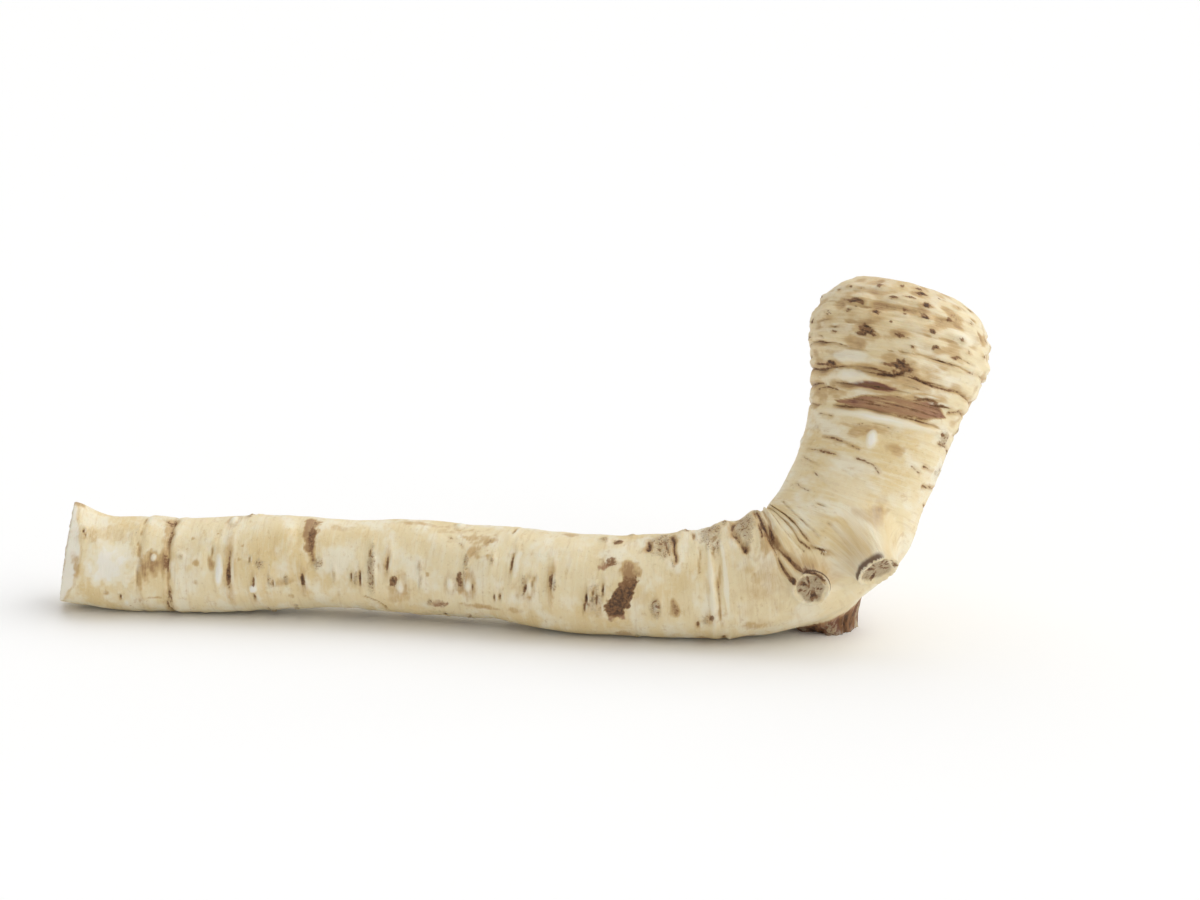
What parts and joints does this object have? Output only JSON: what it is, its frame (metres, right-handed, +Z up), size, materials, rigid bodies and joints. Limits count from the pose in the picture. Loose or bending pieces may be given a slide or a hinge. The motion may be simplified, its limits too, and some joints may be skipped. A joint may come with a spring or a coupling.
{
  "type": "horseradish root",
  "caption": "Whole horseradish root, cut at both ends: a long shank lies flat, bends up at an elbow and swells into a crown ringed with leaf scars.",
  "frame": {"origin": "middle of the footprint, on the surface that the root lies on", "axes": "+X from the tail cut towards the crown, +Y away from the side that the picture shows, +Z up"},
  "size_m": [0.3362, 0.0862, 0.1254],
  "materials": {
    "root_skin": "cream, faintly waxy skin with tan stains and dark corky scars"
  },
  "bodies": {
    "root": {"horseradish_root": "root_skin"}
  },
  "joints": []
}
